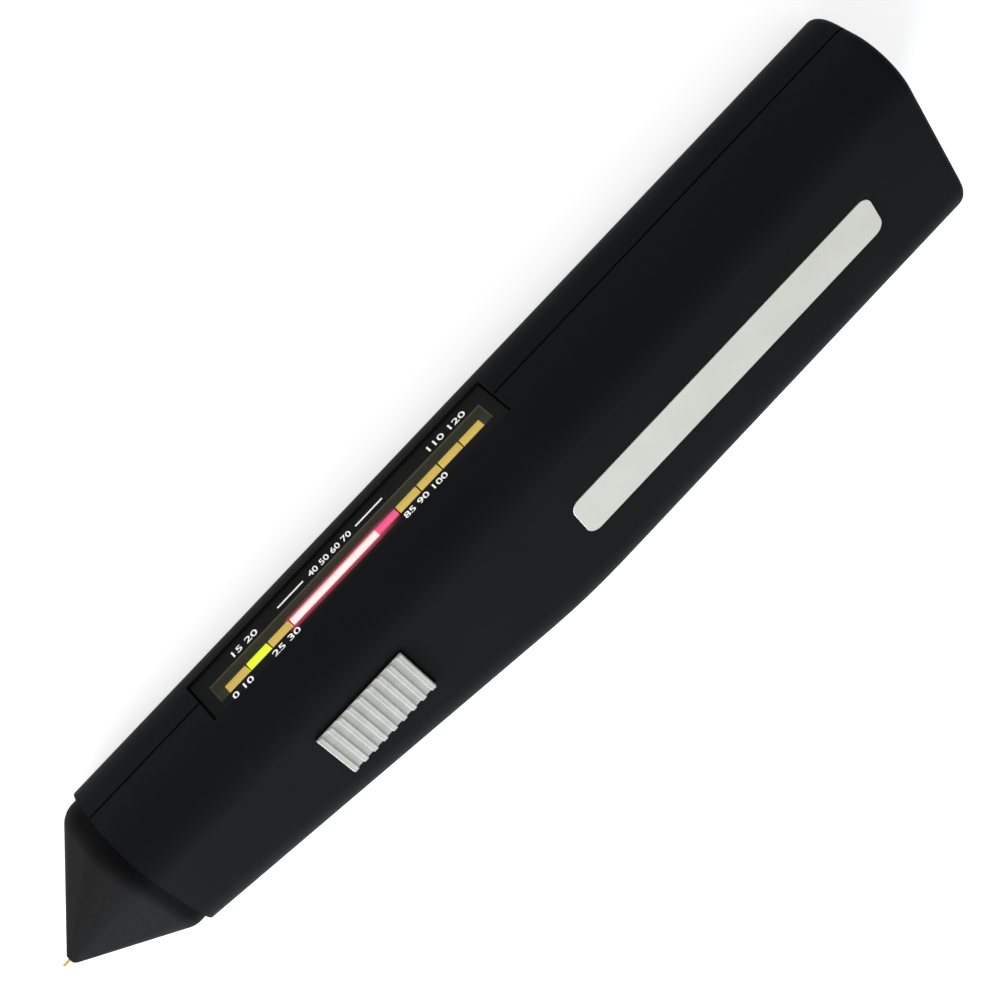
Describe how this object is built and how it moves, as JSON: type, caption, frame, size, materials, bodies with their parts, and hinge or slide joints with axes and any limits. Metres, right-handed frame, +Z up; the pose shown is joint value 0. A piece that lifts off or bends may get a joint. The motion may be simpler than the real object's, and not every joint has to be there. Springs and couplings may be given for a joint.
{
  "type": "handheld gem tester",
  "caption": "Handheld gem tester: black two-shell body with a sprung heated probe in a nose cone, a lamp bar in its narrow edge, a ribbed thumb slide, a bare side plate and a sliding battery door.",
  "frame": {"origin": "centre of the overall box in X and Y, on the plane of the hidden broad side that the tester lies on", "axes": "+X from the probe to the rear end, +Y from the belly to the display edge, +Z up from the resting side to the side with the slide and the plate"},
  "size_m": [0.2042, 0.046, 0.0259],
  "materials": {
    "shell_black": "fine matte moulded",
    "nose_grey": "matte moulded",
    "panel_black": "satin printed panel",
    "window_smoked": "smoked clear",
    "holder_olive": "moulded",
    "lamp_amber": "diffused lens",
    "lamp_green_lit": "diffused lens, lit",
    "lamp_red_lit": "diffused lens, lit",
    "lamp_pink_lit": "diffused lens, dimly lit",
    "satin_silver": "matte satin",
    "pin_brass": "polished",
    "head_copper": "turned",
    "bright_steel": "plated",
    "board_green": "solder mask",
    "chip_black": "moulded",
    "trimmer_blue": "moulded",
    "battery_grey": "plain can"
  },
  "bodies": {
    "case": {"label_side_shell": "shell_black", "back_side_shell": "shell_black", "nose_cone": "nose_grey", "probe_spring": "bright_steel", "probe_plug": "nose_grey", "display_bezel": "panel_black", "display_window": "window_smoked", "lamp_low_battery": "lamp_amber", "lamp_ready": "lamp_green_lit", "lamp_metal": "lamp_amber", "lamps_bar_lit": "lamp_red_lit", "lamp_bar_edge": "lamp_pink_lit", "lamps_bar_unlit": "lamp_amber", "lamp_holder": "holder_olive", "main_board": "board_green", "board_chips": "chip_black", "trimmer": "trimmer_blue", "buzzer": "chip_black", "slide_switch": "bright_steel", "side_plate": "satin_silver", "battery": "battery_grey", "battery_snap": "chip_black", "shell_screws": "bright_steel", "board_screws": "bright_steel"},
    "probe": {"probe_pin": "pin_brass", "probe_head": "head_copper"},
    "slide": {"power_slide": "satin_silver", "slide_keeper": "chip_black", "switch_lever": "chip_black"},
    "door": {"battery_door": "shell_black"}
  },
  "joints": [
    {"name": "probe_press", "type": "slide", "parent": "case", "child": "probe", "axis": [1, 0, 0], "range_m": [0, 0.001], "stiffness_N_per_m": 600, "springref_m": -0.0005, "deforming": ["probe_spring"]},
    {"name": "power_slide_travel", "type": "slide", "parent": "case", "child": "slide", "axis": [1, 0, 0], "range_m": [0, 0.0035]},
    {"name": "battery_door_slide", "type": "slide", "parent": "case", "child": "door", "axis": [1, 0, 0], "range_m": [0, 0.055]}
  ]
}
